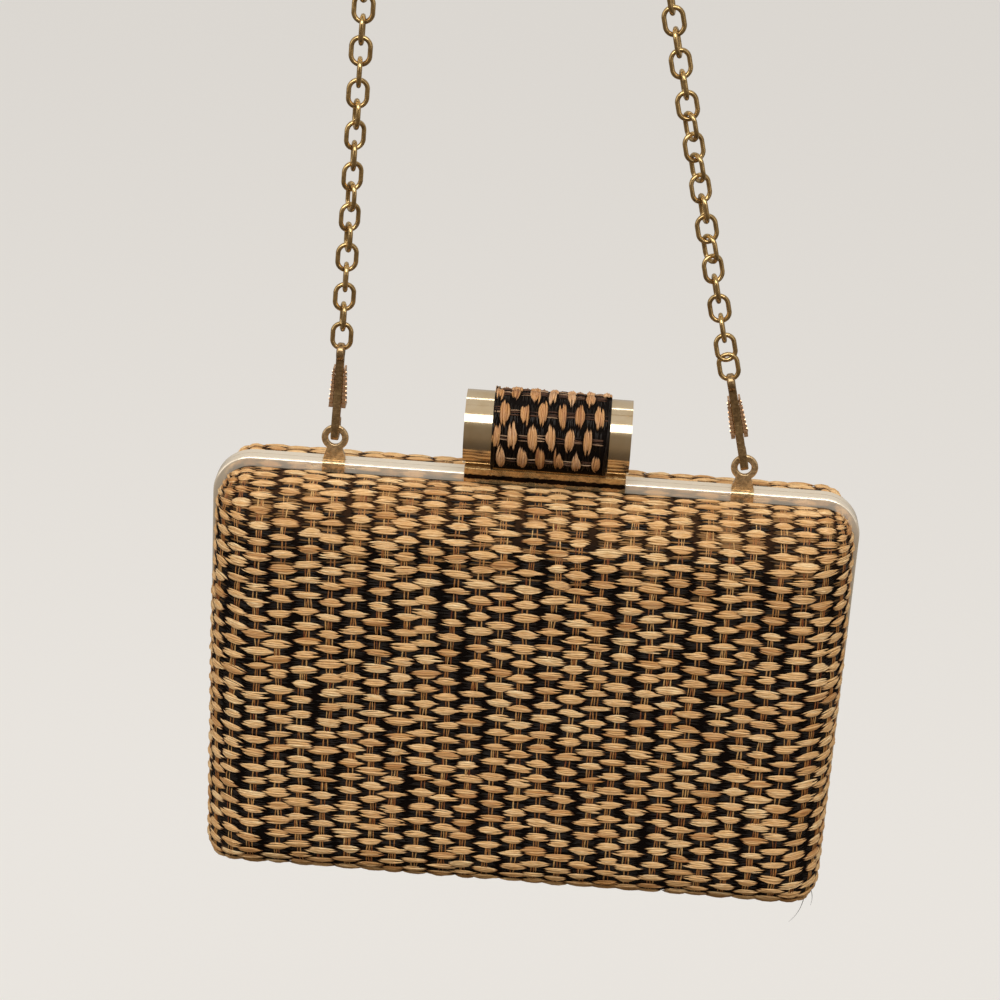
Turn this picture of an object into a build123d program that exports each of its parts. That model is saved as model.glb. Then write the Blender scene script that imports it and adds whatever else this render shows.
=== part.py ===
from build123d import *

import math
import os

# Box bag: two hard, bulged shells covered in woven raffia, each held in a
# metal frame. The frames are hinged along the bottom and closed by a tube
# clasp on top. A chain hangs the bag from two eyes by spring clips.
#
# Everything is modelled in the bag's own axes, in millimetres: X across the
# bag, Y from front to back with the split between the halves at 0, Z up with
# the top of the frames at 0. The last step moves every piece so that the
# origin is where the chain bears on whatever holds the bag up.

# ---- driving dimensions ---------------------------------------------------
frame_width = 180.0
frame_height = 124.0
corner_top = 11.0
corner_bottom = 9.0
corner_least = 5.0

split_gap = 0.24
frame_depth = 3.1
frame_sheet = 0.9
frame_lip = 3.0
frame_inner_leg = 6.5
inner_leg_sheet = 0.8
frame_edge_round = 0.7
lip_edge_round = 0.4
seat_gap = 0.05

shell_bulge = 21.5
roll_in = 15.0
roll_power = 2.6
side_swell = 0.6
tuck_depth = 1.05
tuck_reach = 1.2
cover_inset = 2.0
cover_thickness = 1.0
shell_thickness = 1.5
lining_thickness = 0.6
dome_steps = 10

hinge_offset = 55.0
hinge_length = 24.0
hinge_knuckle_radius = 1.25
hinge_middle_knuckle = 8.0
hinge_side_play = 0.1
hinge_leaf = 0.6
leaf_clearance = 0.25
leaf_setback = 0.1
barrel_drop = 0.1
hinge_pin_radius = 0.55
hinge_clearance = 0.05

eye_offset = 56.6
eye_height = 6.7
eye_outer_radius = 3.75
eye_hole_radius = 1.9
eye_plate = 1.3
eye_edge_round = 0.5
eye_setback = 0.3
eye_tab_width = 6.2
eye_neck_width = 4.0
eye_neck_drop = 2.6
tab_sheet = 0.6
tab_drop = 2.7
notch_length = 2.4
notch_height = 0.55
notch_depth = 0.45
notch_from_tab = 0.5
notch_below_edge = 0.5

clasp_shift = 2.0
clasp_tube_lift = 2.35
tube_radius = 10.25
tube_wall = 0.9
tube_length = 45.6
end_cap_thickness = 1.2
end_cap_recess = 0.4
end_cap_gap = 0.02
sleeve_gap = 0.1
sleeve_thickness = 0.5
sleeve_length = 32.0
sleeve_shift = 0.9
wrap_thickness = 0.8
wrap_seam = 0.1
base_length = 44.6
base_front_height = 1.6
base_seat_height = 3.0
base_seat_depth = 2.4
seat_over_base = 0.4
base_edge_round = 0.35
wrap_end_reach = 0.3

clip_thickness = 2.2
clip_edge_round = 0.25
clip_eye_height = 25.3
clip_eye_radius = 2.5
clip_eye_hole = 1.4
hook_play = 0.08
clip_pivot_height = 18.5
clip_pin_radius = 0.5
clip_pin_clearance = 0.04
gate_side_gap = 0.12
gate_flange_top = 0.5
gate_flange_flare = 0.62
gate_top = 20.6
gate_bottom = 9.2
gate_web = 0.6
gate_web_reach = 2.55
gate_flange_front = -0.9
rib_count = 7
rib_radius = 0.24
spring_sheet = 0.25
spring_width = 1.5

chain_diameter = 7.0
chain_arc_radius = 20.0
left_lean_deg = 1.7
right_lean_deg = 13.6

# ---- places worked out from them ------------------------------------------
frame_start = split_gap / 2
inner_leg_end = frame_start + inner_leg_sheet
eye_plane = -(eye_setback + eye_plate / 2)
clasp_axis_height = tube_radius + clasp_tube_lift
sleeve_inner = tube_radius + sleeve_gap
sleeve_outer = sleeve_inner + sleeve_thickness
wrap_outer = sleeve_outer + wrap_thickness
hook_bend_top = math.sqrt((eye_hole_radius - hook_play) ** 2 - (clip_thickness / 2) ** 2)
hinge_axis_z = -frame_height - hinge_knuckle_radius - barrel_drop

FRONT = -1
REAR = 1


# ---- outlines and domes ---------------------------------------------------
def outline(inset, y):
    """The frame's rounded outline, moved inwards by inset, in the plane of y."""
    side = frame_width / 2 - inset
    top = -inset
    bottom = inset - frame_height
    r_top = max(corner_top - inset, corner_least)
    r_low = max(corner_bottom - inset, corner_least)

    def arc(centre_x, centre_z, radius, start_deg):
        """A quarter turn, clockwise as seen from the front."""
        points = []
        for turn in (0, 45, 90):
            a = math.radians(start_deg - turn)
            points.append(
                (centre_x + radius * math.cos(a), y, centre_z + radius * math.sin(a))
            )
        return ThreePointArc(*points)

    arcs = [
        arc(side - r_top, top - r_top, r_top, 90),
        arc(side - r_low, bottom + r_low, r_low, 0),
        arc(r_low - side, bottom + r_low, r_low, -90),
        arc(r_top - side, top - r_top, r_top, 180),
    ]
    edges = []
    for i, quarter in enumerate(arcs):
        edges.append(Line(arcs[i - 1] @ 1, quarter @ 0))
        edges.append(quarter)
    return Wire(edges)


def slab(inset, side, near, far):
    """A plate of the inset outline between two depths from the split."""
    face = Face(outline(inset, side * near))
    return extrude(face, amount=far - near, dir=(0, side, 0))


def cover_profile(t):
    """How far the cover lies inside the frame's outline, t of the way out."""
    roll = roll_in * (1 - math.sqrt(max(0.0, 1 - t**roll_power)))
    swell = side_swell * math.sin(math.pi * min(1.0, t / 0.9))
    tuck = tuck_depth * math.exp(-((t * shell_bulge / tuck_reach) ** 2))
    return cover_inset + roll - swell + tuck


def dome(offset, side, start):
    """The bulged half as a solid, with its skin moved in by offset."""
    sections = [Face(outline(cover_profile(0) + offset, side * start))]
    for i in range(dome_steps + 1):
        t = math.sin(math.pi / 2 * i / dome_steps)
        depth = frame_depth + (shell_bulge - offset) * t
        sections.append(Face(outline(cover_profile(t) + offset, side * depth)))
    return loft(sections, ruled=True)


# ---- frames, shells, covers and linings ----------------------------------
def frame_half(side):
    """Sheet channel: outer lip, top, and the leg that meets the other half."""
    lip_start = frame_depth - frame_sheet
    body = slab(0, side, frame_start, frame_depth)
    rim = body.edges().filter_by_position(
        Axis.Y, *sorted((side * frame_depth - 0.01, side * frame_depth + 0.01))
    )
    body = fillet(rim, frame_edge_round)
    body -= slab(frame_inner_leg, side, frame_start, inner_leg_end)
    body -= slab(frame_sheet, side, inner_leg_end, lip_start)
    body -= slab(frame_lip, side, lip_start, frame_depth)
    lip_edge = [e for e in body.edges().filter_by_position(
        Axis.Y, *sorted((side * frame_depth - 0.01, side * frame_depth + 0.01))
    ) if abs(e.center().X) < frame_width / 2 - frame_lip + 0.1
        and abs(e.center().Z + frame_height / 2) < frame_height / 2 - frame_lip + 0.1]
    return fillet(lip_edge, min(lip_edge_round, 0.45 * frame_sheet))


def stake_notches():
    """Shallow slots beside each eye's tab, left by staking the tab down."""
    reach = eye_tab_width / 2 + notch_length / 2 + notch_from_tab
    notches = []
    for x in (-eye_offset, eye_offset):
        for hand in (-1, 1):
            place = Pos(x + hand * reach, -frame_depth, -frame_edge_round - notch_below_edge)
            notches.append(place * Box(notch_length, 2 * notch_depth, notch_height))
    return notches


def shell_half(side):
    """Moulded shell with the flat rim that the frame's channel holds."""
    start = inner_leg_end + seat_gap
    rim_end = frame_depth - frame_sheet - seat_gap
    outer = dome(cover_thickness, side, start)
    rim = slab(frame_sheet + seat_gap, side, start, rim_end)
    rim -= slab(frame_inner_leg - 1, side, start, rim_end)
    return outer + rim - dome(cover_thickness + shell_thickness, side, start)


def cover_half(side):
    """Woven raffia skin over the shell, tucked under the frame's lip."""
    start = frame_depth - frame_sheet + seat_gap
    return dome(0, side, start) - dome(cover_thickness, side, start)


def lining_half(side):
    """Cloth lining inside the shell."""
    start = inner_leg_end + seat_gap
    skin = cover_thickness + shell_thickness + seat_gap
    return dome(skin, side, start) - dome(skin + lining_thickness, side, start)


# ---- hinges ----------------------------------------------------------------
def along_x(radius, length, x, y, z):
    """A round bar along X."""
    return Pos(x, y, z) * Rot(0, 90, 0) * Cylinder(radius, length)


def hinge_leaf_piece(side, x):
    """Leaf under one frame, with the knuckles that belong to it."""
    middle = hinge_middle_knuckle / 2
    outer_knuckle = hinge_length / 2 - middle - hinge_side_play
    far = frame_depth - leaf_setback
    clear_of_barrel = hinge_knuckle_radius + leaf_clearance
    top = -frame_height
    plate = Pos(x, side * (clear_of_barrel + far) / 2, top - hinge_leaf / 2)
    leaf = plate * Box(hinge_length, far - clear_of_barrel, hinge_leaf)
    if side == FRONT:
        spans = [(s * (middle + hinge_side_play + outer_knuckle / 2), outer_knuckle)
                 for s in (-1, 1)]
        bore = hinge_pin_radius
    else:
        spans = [(0.0, hinge_middle_knuckle)]
        bore = hinge_pin_radius + hinge_clearance
    for shift, length in spans:
        reach = (frame_start + clear_of_barrel + 0.1) / 2
        bridge = Pos(x + shift, side * reach, top - hinge_leaf / 2)
        leaf += bridge * Box(length, clear_of_barrel + 0.1 - frame_start, hinge_leaf)
        leaf += along_x(hinge_knuckle_radius, length, x + shift, 0, hinge_axis_z)
    return leaf - along_x(bore, hinge_length + 2, x, 0, hinge_axis_z)


# ---- eyes that the clips hook into ----------------------------------------
def chain_eye(x):
    """Stamped eye: ring, flared neck, and a tab folded over the frame."""
    back = -eye_setback
    ring = Cylinder(eye_outer_radius, eye_plate) - Cylinder(eye_hole_radius, eye_plate + 1)
    ring = fillet(ring.edges().filter_by(GeomType.CIRCLE), min(eye_edge_round, 0.45 * eye_plate))
    ring = Pos(0, eye_plane, eye_height) * Rot(90, 0, 0) * ring
    neck_top = eye_height - eye_neck_drop
    half_tab = eye_tab_width / 2
    half_neck = eye_neck_width / 2
    neck = Polyline(
        (-half_tab, back, 0), (-half_tab, back, tab_sheet), (-half_neck, back, neck_top),
        (half_neck, back, neck_top), (half_tab, back, tab_sheet), (half_tab, back, 0),
        close=True,
    )
    body = ring + extrude(make_face(neck), amount=eye_plate, dir=(0, -1, 0))
    front = -frame_depth - tab_sheet
    top_strap = Pos(0, (back + front) / 2, tab_sheet / 2)
    body += top_strap * Box(eye_tab_width, back - front, tab_sheet)
    front_strap = Pos(0, front + tab_sheet / 2, (tab_sheet - tab_drop) / 2)
    body += front_strap * Box(eye_tab_width, tab_sheet, tab_drop + tab_sheet)
    corner = frame_edge_round + tab_sheet
    body -= Pos(0, front, tab_sheet) * Box(eye_tab_width + 1, 2 * corner, 2 * corner)
    bend = along_x(corner, eye_tab_width, 0, front + corner, tab_sheet - corner)
    body += bend & (Pos(0, front, tab_sheet) * Box(eye_tab_width, 2 * corner, 2 * corner))
    hole = Pos(0, eye_plane, eye_height) * Rot(90, 0, 0) * Cylinder(eye_hole_radius, 4)
    return Pos(x, 0, 0) * (body - hole - frame_corner())


def frame_corner():
    """The space that the front frame takes up near an eye, rounded edge and all."""
    size = 20.0
    block = Pos(0, -frame_depth + size / 2, -size / 2) * Box(size, size, size)
    edge = block.edges().filter_by(Axis.X).sort_by(lambda e: e.center().Z - e.center().Y)[-1]
    return fillet(edge, frame_edge_round)


# ---- clasp -----------------------------------------------------------------
def clasp_bar(radius, length, x):
    """A round bar on the clasp's axis."""
    return along_x(radius, length, x, 0, clasp_axis_height)


def half_space(side, gap):
    """Everything on one side of the split, starting gap away from it."""
    size = 200.0
    return Pos(0, side * (gap + size / 2), 0) * Box(size, size, size)


def clasp_base(side, seat_radius):
    """Saddle over the frame's top and face, hollowed to carry the clasp."""
    front = frame_depth + tab_sheet
    section = [
        (frame_start, 0), (frame_start, base_seat_height), (base_seat_depth, base_seat_height),
        (front, base_front_height), (front, -tab_drop), (frame_depth, -tab_drop),
        (frame_depth, 0),
    ]
    points = [(clasp_shift - base_length / 2, side * d, z) for d, z in section]
    face = make_face(Polyline(*points, close=True))
    body = extrude(face, amount=base_length, dir=(1, 0, 0))
    outer_edges = body.edges().filter_by(Axis.X).filter_by_position(
        Axis.Y, *sorted((side * front - 0.01, side * front + 0.01))
    )
    body = fillet(outer_edges, min(base_edge_round, 0.45 * tab_sheet))
    return body - clasp_bar(seat_radius, base_length + 4, clasp_shift)


def clasp_sleeve(side, inner, outer, base_reach):
    """Half of a sleeve on one side of the split, from its base to the top."""
    x = clasp_shift + sleeve_shift
    ring = clasp_bar(outer, sleeve_length, x) - clasp_bar(inner, sleeve_length + 2, x)
    ring = ring & half_space(side, wrap_seam)
    if base_reach:
        size = 40.0
        top = base_seat_height + seat_over_base
        ring -= Pos(x, side * (base_reach - size / 2), top - size / 2) * Box(60, size, size)
    return ring


def clasp_pieces():
    """Front: sleeve and wrap on a base. Rear: tube, end caps, wrap and base."""
    reach = frame_depth + tab_sheet + wrap_end_reach
    tube = clasp_bar(tube_radius, tube_length, clasp_shift)
    tube -= clasp_bar(tube_radius - tube_wall, tube_length + 2, clasp_shift)
    pieces = {
        "clasp_front_base": clasp_base(FRONT, sleeve_outer + seat_gap),
        "clasp_front_sleeve": clasp_sleeve(FRONT, sleeve_inner, sleeve_outer, 0),
        "clasp_front_wrap": clasp_sleeve(FRONT, sleeve_outer + seat_gap, wrap_outer, reach),
        "clasp_rear_base": clasp_base(REAR, tube_radius + seat_gap),
        "clasp_tube": tube,
        "clasp_rear_wrap": clasp_sleeve(REAR, tube_radius + seat_gap, wrap_outer, reach),
    }
    for name, hand in (("left", -1), ("right", 1)):
        x = clasp_shift + hand * (tube_length / 2 - end_cap_recess - end_cap_thickness / 2)
        cap = clasp_bar(tube_radius - tube_wall - end_cap_gap, end_cap_thickness, x)
        pieces[f"clasp_end_cap_{name}"] = cap
    return pieces


# ---- spring clips ----------------------------------------------------------
# A clip is drawn upright with the centre of its eye's ring hole at 0: Y is
# across its hook, Z is up towards the chain.
def plate_yz(points, thickness, rounding=0.0):
    """A plate of the given outline, centred on X."""
    face = make_face(Polyline(*[(0, y, z) for y, z in points], close=True))
    if rounding:
        face = fillet(face.vertices(), rounding)
    return extrude(face, amount=thickness / 2, dir=(1, 0, 0), both=True)


def clip_hook():
    """Cast hook: chain eye, shank, and the bend that passes through the ring."""
    outline_points = [
        (-1.15, clip_eye_height), (-1.15, 14.0), (-3.0, 4.6), (-3.0, 1.2), (-1.8, -0.1),
        (1.9, -0.1), (3.0, 1.1), (3.0, 5.2), (1.65, 5.2), (1.65, 2.2), (1.1, hook_bend_top),
        (-1.1, hook_bend_top), (-1.65, 2.2), (-1.65, 6.6), (-0.45, 8.6), (-0.45, 12.0),
        (1.15, 17.0), (1.15, clip_eye_height),
    ]
    body = plate_yz(outline_points, clip_thickness, 0.3)
    flat_faces = body.faces().filter_by(Axis.X)
    body = chamfer(flat_faces.edges(), clip_edge_round)
    chain_end = Cylinder(clip_eye_radius, clip_thickness)
    chain_end = fillet(chain_end.edges().filter_by(GeomType.CIRCLE), 3 * clip_edge_round)
    body += Pos(0, 0, clip_eye_height) * Rot(0, 90, 0) * chain_end
    body -= along_x(clip_eye_hole, clip_thickness + 2, 0, 0, clip_eye_height)
    return body - along_x(clip_pin_radius, clip_thickness + 2, 0, 0, clip_pivot_height)


def clip_gate():
    """Push gate: two flared, ribbed flanges, a web, and the nose."""
    inner = clip_thickness / 2 + gate_side_gap
    outer_top = inner + gate_flange_top
    outer_low = outer_top + gate_flange_flare
    web_out = gate_web_reach
    web_in = web_out - gate_web
    front = gate_flange_front
    gate = None
    for hand in (-1, 1):
        corners = [(inner, gate_top), (outer_top, gate_top), (outer_low, gate_bottom),
                   (inner, gate_bottom)]
        face = make_face(Polyline(*[(hand * x, front, z) for x, z in corners], close=True))
        flange = extrude(face, amount=web_out - front, dir=(0, 1, 0))
        slope = gate_flange_flare / (gate_top - gate_bottom)
        for i in range(rib_count):
            z = gate_bottom + 1.0 + i * (gate_top - gate_bottom - 3.2) / (rib_count - 1)
            x = hand * (outer_top + slope * (gate_top - z) - 0.05)
            rib = Rot(-90 - 35, 0, 0) * Cylinder(rib_radius, 3.2)
            flange += Pos(x, (front + web_out) / 2, z + 0.4) * rib
        gate = flange if gate is None else gate + flange
    web = [(web_in, gate_top - 1.6), (web_out, gate_top - 1.6), (web_out, gate_bottom),
           (web_in, gate_bottom)]
    gate += plate_yz(web, 2 * inner + 0.2)
    nose = [(web_in, gate_bottom + 1.5), (web_out, gate_bottom + 1.5), (web_out, gate_bottom - 0.6),
            (1.5, 6.0), (1.5, 4.1), (0.9, 4.1), (0.9, 6.2), (web_in, gate_bottom - 0.2)]
    gate += plate_yz(nose, clip_thickness - 0.3)
    bore = clip_pin_radius + clip_pin_clearance
    return gate - along_x(bore, 8, 0, 0, clip_pivot_height)


def clip_pin():
    """Rivet through the gate's flanges and the shank."""
    slope = gate_flange_flare / (gate_top - gate_bottom)
    outer = clip_thickness / 2 + gate_side_gap + gate_flange_top
    outer += slope * (gate_top - clip_pivot_height)
    return along_x(clip_pin_radius, 2 * outer + 0.5, 0, 0, clip_pivot_height)


def clip_spring():
    """Leaf spring on the back of the shank, pressing on the gate's web."""
    web_in = gate_web_reach - gate_web
    foot_low, foot_high = 13.6, 16.2
    back = [(-0.45 + 1.6 * (z - 12.0) / 5.0 + 0.03, z) for z in (foot_low, foot_high)]
    tip = (web_in - 0.05, 11.0)
    points = [
        back[1], back[0], (tip[0] - spring_sheet, tip[1]), tip,
        (back[0][0] + spring_sheet, foot_low + 0.2), (back[1][0] + spring_sheet, foot_high),
    ]
    return plate_yz(points, spring_width)


def clip_place(hand):
    """Where a clip hangs: in its eye, leaning along its strand of the chain."""
    lean = left_lean_deg if hand < 0 else -right_lean_deg
    return Pos(hand * eye_offset, eye_plane, eye_height) * Rot(0, lean, 0)


# ---- chain -----------------------------------------------------------------
def strand_start(hand):
    """Point on the clip's line where the chain's own length begins."""
    start = clip_place(hand) * Pos(0, 0, clip_eye_height + clip_eye_radius + seat_gap)
    return start.position


def chain_route():
    """Both strands run straight to one round support, which sets the arc."""
    left, right = strand_start(-1), strand_start(1)
    lean_l, lean_r = math.radians(left_lean_deg), math.radians(right_lean_deg)
    # The support's centre is one arc radius inside each strand.
    a1, b1 = math.cos(lean_l), -math.sin(lean_l)
    c1 = a1 * left.X + b1 * left.Z + chain_arc_radius
    a2, b2 = -math.cos(lean_r), -math.sin(lean_r)
    c2 = a2 * right.X + b2 * right.Z + chain_arc_radius
    det = a1 * b2 - a2 * b1
    centre_x = (c1 * b2 - c2 * b1) / det
    centre_z = (a1 * c2 - a2 * c1) / det
    top = centre_z + chain_arc_radius
    corner_l = Vector(left.X + math.tan(lean_l) * (top - left.Z), eye_plane, top)
    corner_r = Vector(right.X - math.tan(lean_r) * (top - right.Z), eye_plane, top)
    return [left, corner_l, corner_r, right], Vector(centre_x, eye_plane, centre_z)


def chain_tube():
    """The chain's outer size as a plain tube along its route."""
    points, _ = chain_route()
    path = FilletPolyline(*points, radius=[0.998 * chain_arc_radius] * 2)
    section = Plane(origin=path @ 0, z_dir=path % 0) * Circle(chain_diameter / 2)
    tube = sweep(section, path=path)
    expected = math.pi * chain_diameter**2 / 4 * path.length
    print(f"chain length {path.length:.1f}, volume over section x length "
          f"{tube.volume / expected:.4f}, arc radii {[0.998 * chain_arc_radius] * 2}")
    return tube


# ---- the whole bag ---------------------------------------------------------
def build():
    """Every piece of the bag, by node name, in the bag's own axes."""
    pieces = {}
    for name, side in (("front", FRONT), ("rear", REAR)):
        pieces[f"{name}_frame"] = frame_half(side)
        pieces[f"{name}_shell"] = shell_half(side)
        pieces[f"{name}_cover"] = cover_half(side)
        pieces[f"{name}_lining"] = lining_half(side)
        for hand_name, hand in (("left", -1), ("right", 1)):
            leaf = hinge_leaf_piece(side, hand * hinge_offset)
            pieces[f"{name}_hinge_leaf_{hand_name}"] = leaf
    for notch in stake_notches():
        pieces["front_frame"] -= notch
    pieces.update(clasp_pieces())
    for name, hand in (("left", -1), ("right", 1)):
        pin = along_x(hinge_pin_radius, hinge_length, hand * hinge_offset, 0, hinge_axis_z)
        pieces[f"hinge_pin_{name}"] = pin
        pieces[f"chain_eye_{name}"] = chain_eye(hand * eye_offset)
        place = clip_place(hand)
        pieces[f"clip_hook_{name}"] = place * clip_hook()
        pieces[f"clip_gate_{name}"] = place * clip_gate()
        pieces[f"clip_pin_{name}"] = place * clip_pin()
        pieces[f"clip_spring_{name}"] = place * clip_spring()
    pieces["chain"] = chain_tube()
    return pieces


def main():
    """Write each piece to its own STEP file, with the origin at the support."""
    points, centre = chain_route()
    bearing = centre + Vector(0, 0, chain_arc_radius - chain_diameter / 2)
    to_row = Pos(-bearing.X, -bearing.Y, -bearing.Z)
    os.makedirs("parts", exist_ok=True)
    for name, shape in build().items():
        export_step(to_row * shape, f"parts/{name}.step")
    moved = [to_row * Pos(p.X, p.Y, p.Z) for p in points]
    print("bag origin in the row frame", to_row.position)
    print("chain route", [tuple(round(v, 3) for v in m.position) for m in moved])
    print("hinge axis", (to_row * Pos(0, 0, hinge_axis_z)).position)
    for name, hand in (("left", -1), ("right", 1)):
        pivot = to_row * clip_place(hand) * Pos(0, 0, clip_pivot_height)
        axis = (pivot * Pos(1, 0, 0)).position - pivot.position
        print(f"gate pivot {name}", pivot.position, "axis", axis)


main()
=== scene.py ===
# %% [markdown]
# # A woven box bag
# This bag is a hard clutch: two shallow bowls covered in woven raffia, each in
# a metal frame, hinged along the bottom and shut by a tube clasp. A chain holds
# it up by two spring clips. The metal comes ready made from the CAD model. The
# weave, the chain's links, the clasp's wrap and the lining are made here,
# because they are too fine or too soft for CAD.

# %% Load the frame
import math

import bpy
import numpy as np
from mathutils import Matrix, Vector


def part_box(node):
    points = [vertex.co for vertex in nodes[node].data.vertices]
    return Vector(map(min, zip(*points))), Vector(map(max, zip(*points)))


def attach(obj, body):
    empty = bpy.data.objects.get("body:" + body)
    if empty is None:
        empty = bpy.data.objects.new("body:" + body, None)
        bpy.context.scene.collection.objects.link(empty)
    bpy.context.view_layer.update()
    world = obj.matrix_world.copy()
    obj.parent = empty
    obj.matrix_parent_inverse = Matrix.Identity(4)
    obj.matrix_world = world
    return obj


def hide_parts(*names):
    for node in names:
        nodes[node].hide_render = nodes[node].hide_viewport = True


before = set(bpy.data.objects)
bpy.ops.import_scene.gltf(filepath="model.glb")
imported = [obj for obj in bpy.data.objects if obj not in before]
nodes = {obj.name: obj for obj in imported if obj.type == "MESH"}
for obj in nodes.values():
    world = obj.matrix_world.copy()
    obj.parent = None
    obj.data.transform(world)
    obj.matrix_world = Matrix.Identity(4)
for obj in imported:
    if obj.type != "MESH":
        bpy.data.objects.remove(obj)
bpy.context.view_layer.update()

# %% [markdown]
# The bag is easiest to think about in its own millimetres: X across from the
# middle, Y from the plane where the halves meet, Z up from the frame's top
# edge. The frame's boxes say where that corner of the world is.

# %% The bag's own axes
front_low, front_high = (np.array(c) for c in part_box("front_frame"))
rear_low, rear_high = (np.array(c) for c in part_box("rear_frame"))
bag_origin = np.array([
    (front_low[0] + front_high[0]) / 2,
    (front_high[1] + rear_low[1]) / 2,
    front_high[2],
])
frame_width, _, frame_height = (front_high - front_low) * 1000
FRONT, REAR = -1, 1


def to_row(points_mm):
    """Points in the bag's millimetres, scaled to metres and moved to the row's origin."""
    return np.asarray(points_mm, float) / 1000 + bag_origin


print("bag origin", bag_origin.round(5), "frame", round(frame_width, 2), round(frame_height, 2))

# %% [markdown]
# ## Camera
# A long lens from a little above, turned slightly. The bag stays upright in its
# own axes, so the camera carries the tilt.

# %% Camera
camera_place_mm = (10.27, -665.07, 277.36)
camera_azimuth = math.radians(-1.752)
camera_down = math.radians(23.275)
camera_roll = math.radians(3.533)
focal_in_frame_widths = 2.6
sensor_mm = 36.0

look = np.array([
    math.sin(camera_azimuth) * math.cos(camera_down),
    math.cos(camera_azimuth) * math.cos(camera_down),
    -math.sin(camera_down),
])
level = np.array([math.cos(camera_azimuth), -math.sin(camera_azimuth), 0])
upright = np.cross(level, look)
right = math.cos(camera_roll) * level + math.sin(camera_roll) * upright
above = -math.sin(camera_roll) * level + math.cos(camera_roll) * upright

camera_data = bpy.data.cameras.new("camera")
camera_data.sensor_width = sensor_mm
camera_data.lens = focal_in_frame_widths * sensor_mm
camera_data.clip_start, camera_data.clip_end = 0.01, 100
camera = bpy.data.objects.new("camera", camera_data)
bpy.context.scene.collection.objects.link(camera)
turn = Matrix(np.column_stack([right, above, -look]).tolist()).to_4x4()
camera.matrix_world = Matrix.Translation(Vector(to_row(camera_place_mm))) @ turn
bpy.context.scene.camera = camera
print("camera at", [round(v, 3) for v in camera.location], "lens", camera_data.lens)

# %% [markdown]
# ## Studio
# A wide pale floor lies below the hanging bag. Polished metal shows its
# surroundings, so the room matters as much as the lamps: a wide lamp half way
# up in front draws the white band along the tube and the line on the frame's
# rounded edge, a narrow one behind draws a second line, and a room that is
# dark in front and pale behind gives the metal its shade.

# %% Floor
floor_drop_mm = 320.0


def grid_quads(rows, columns, wrap=False):
    """Quads of a grid of points numbered row by row; wrap joins the last column to the first."""
    i, j = np.meshgrid(np.arange(rows - 1), np.arange(columns if wrap else columns - 1), indexing="ij")
    k = (j + 1) % columns
    return np.stack([i * columns + j, i * columns + k, (i + 1) * columns + k, (i + 1) * columns + j], -1).reshape(-1, 4)


def new_piece(name, points, quads, smooth=True, **values):
    """A mesh object from metres and quads; values are named numbers, one per point."""
    mesh = bpy.data.meshes.new(name)
    mesh.vertices.add(len(points))
    mesh.vertices.foreach_set("co", np.asarray(points, np.float32).ravel())
    mesh.loops.add(quads.size)
    mesh.loops.foreach_set("vertex_index", np.asarray(quads, np.int32).ravel())
    mesh.polygons.add(len(quads))
    mesh.polygons.foreach_set("loop_start", np.arange(0, quads.size, 4, dtype=np.int32))
    mesh.polygons.foreach_set("use_smooth", np.full(len(quads), smooth))
    mesh.update(calc_edges=True)
    for key, numbers in values.items():
        mesh.attributes.new(key, "FLOAT", "POINT").data.foreach_set("value", np.asarray(numbers, np.float32).ravel())
    piece = bpy.data.objects.new(name, mesh)
    bpy.context.scene.collection.objects.link(piece)
    return piece


def lay_uv(piece, uv):
    """Stores one UV per point, copied to every corner that uses it."""
    layer = piece.data.uv_layers.new(name="run")
    corner = np.zeros(len(piece.data.loops), np.int32)
    piece.data.loops.foreach_get("vertex_index", corner)
    layer.data.foreach_set("uv", np.asarray(uv, np.float32)[corner].ravel())


floor_z = to_row([0, 0, -frame_height - floor_drop_mm])[2]
span = np.linspace(-6, 6, 25)
floor_x, floor_y = np.meshgrid(span, span)
floor_points = np.stack([floor_x, floor_y, np.full_like(floor_x, floor_z)], -1).reshape(-1, 3)
floor = new_piece("studio_floor", floor_points, grid_quads(25, 25))
floor_paint = bpy.data.materials.new("floor_paint")
floor_paint.use_nodes = True
floor_shader = floor_paint.node_tree.nodes["Principled BSDF"]
floor_shader.inputs["Base Color"].default_value = (0.40, 0.395, 0.385, 1)
floor_shader.inputs["Roughness"].default_value = 0.9
floor_shader.inputs["Emission Color"].default_value = (0.47, 0.463, 0.453, 1)
floor_shader.inputs["Emission Strength"].default_value = 1.0
floor.data.materials.append(floor_paint)
# The floor is a backdrop: it takes the bag's shadow and gives it no light back.
floor.visible_diffuse = False
floor.visible_glossy = False
print("floor at", round(floor_z, 4))

# %% Lamps
def softbox(name, place_mm, aim_mm, width, height, watts, colour=(1, 1, 1)):
    """A rectangular lamp at a place, turned to face the aim point."""
    lamp = bpy.data.lights.new(name, "AREA")
    lamp.shape, lamp.size, lamp.size_y = "RECTANGLE", width, height
    lamp.energy, lamp.color = watts, colour
    holder = bpy.data.objects.new(name, lamp)
    bpy.context.scene.collection.objects.link(holder)
    place, aim = Vector(to_row(place_mm)), Vector(to_row(aim_mm))
    holder.matrix_world = Matrix.Translation(place) @ (aim - place).to_track_quat("-Z", "Y").to_matrix().to_4x4()
    holder.visible_camera = False
    return holder


middle = (0, 0, -60)


def lamp_place(height_deg, reach_mm=1400, aside_mm=0):
    """A place in the plane across the bag: 0 degrees is straight ahead, 90 overhead."""
    tilt = math.radians(height_deg)
    return (aside_mm, -reach_mm * math.cos(tilt), middle[2] + reach_mm * math.sin(tilt))


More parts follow.
